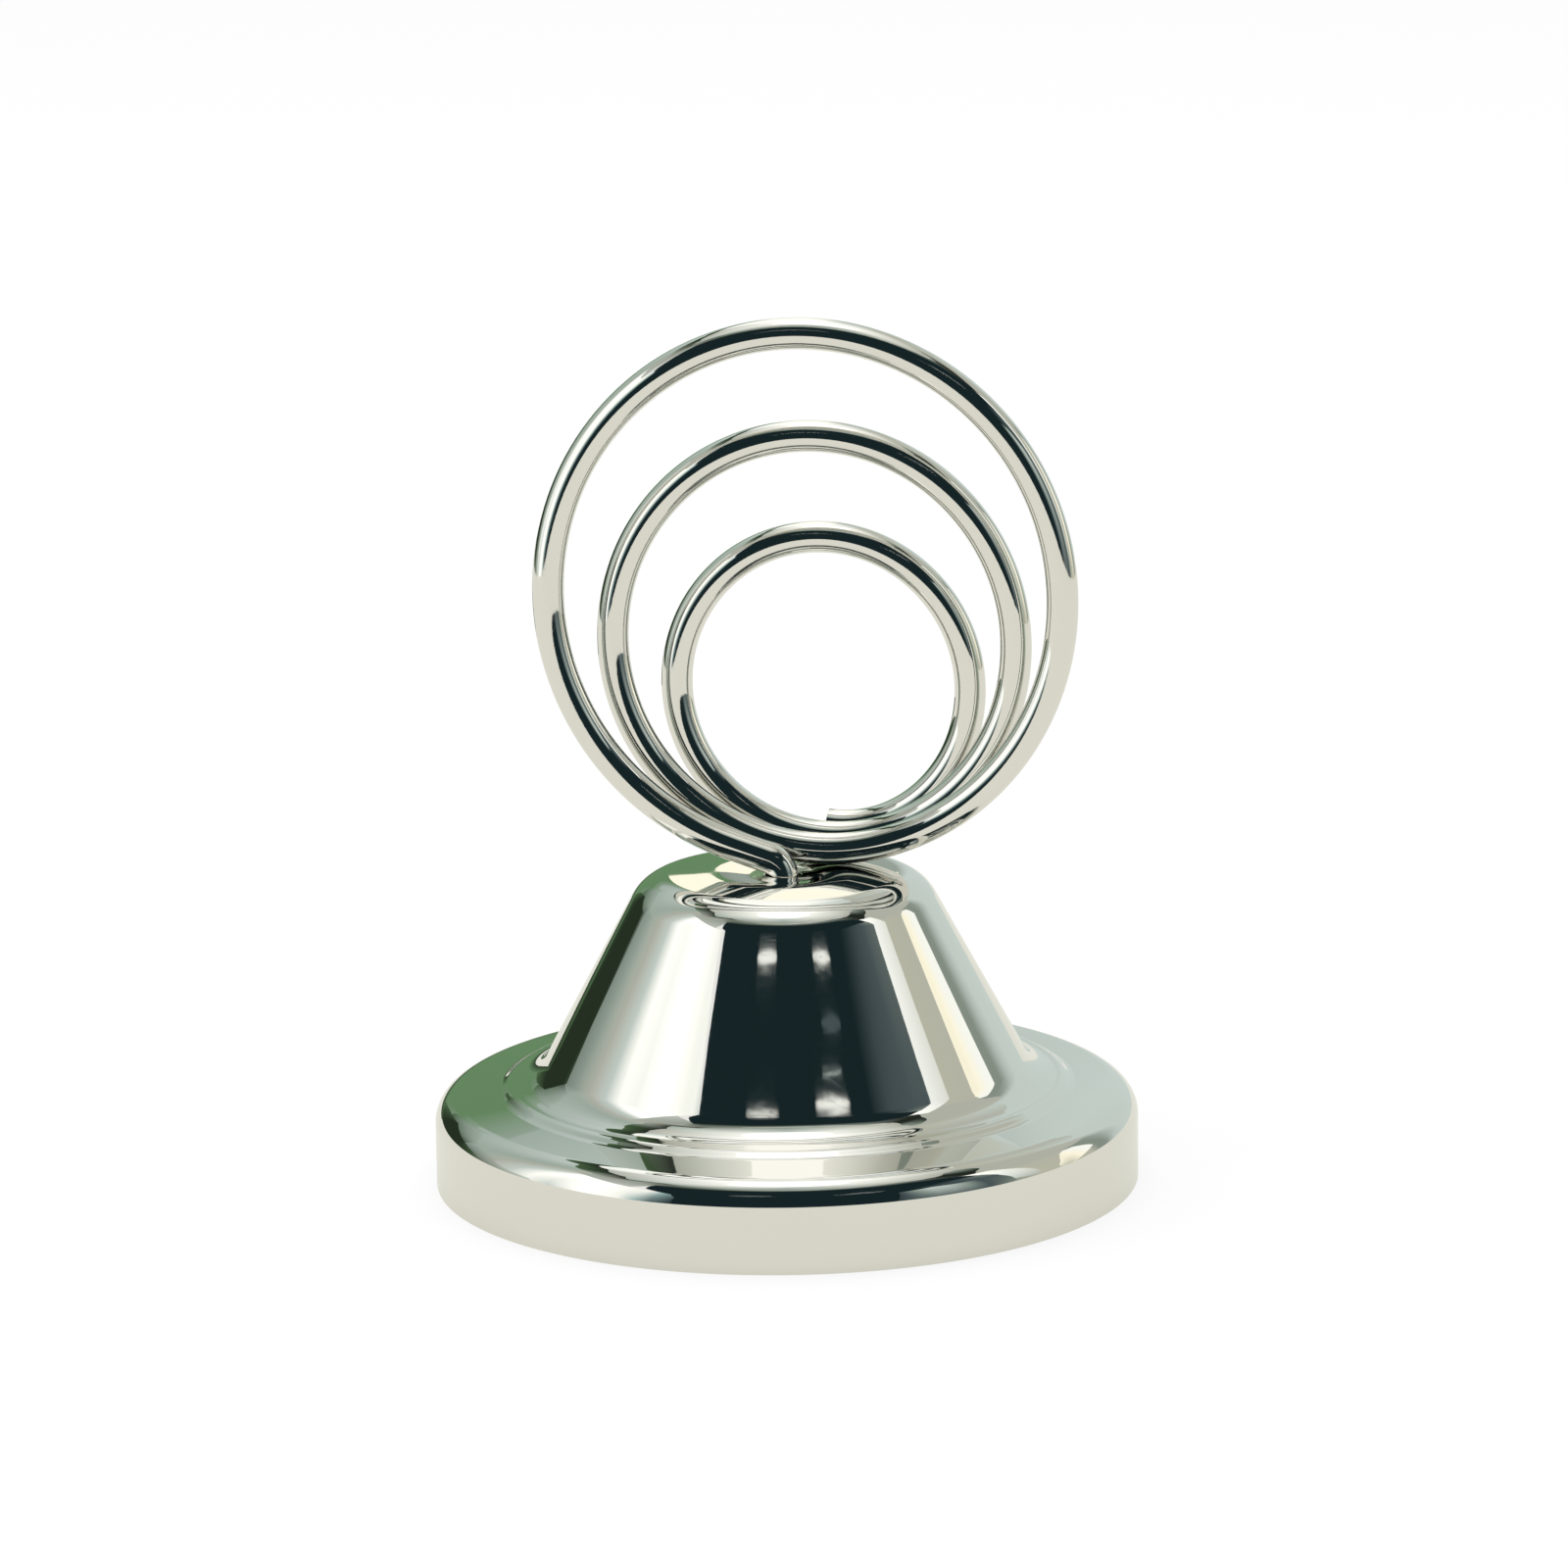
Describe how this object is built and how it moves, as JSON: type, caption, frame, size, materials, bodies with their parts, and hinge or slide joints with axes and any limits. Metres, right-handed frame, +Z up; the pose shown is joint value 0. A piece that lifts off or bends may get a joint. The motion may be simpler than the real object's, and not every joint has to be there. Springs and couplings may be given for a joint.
{
  "type": "memo clip holder",
  "caption": "Desk memo clip: a round wire spiral of shrinking turns grips cards or notes, standing on a low bell-shaped plated sheet base with a flared rim.",
  "frame": {"origin": "centre of the rim's lower edge, on the surface that the base stands on", "axes": "+Z up along the bell and the wire's leg, -Y towards the side that the largest turn faces, +X to the right seen from there"},
  "size_m": [0.045, 0.045, 0.0555],
  "materials": {
    "shell_nickel": "bright nickel plate on pressed sheet steel, polished outside and duller inside",
    "wire_nickel": "bright nickel plate on drawn steel wire",
    "washer_steel": "plain punched steel with a thin dull plate"
  },
  "bodies": {
    "root": {"base_shell": "shell_nickel", "wire_clip": "wire_nickel", "backing_washer": "washer_steel"}
  },
  "joints": []
}
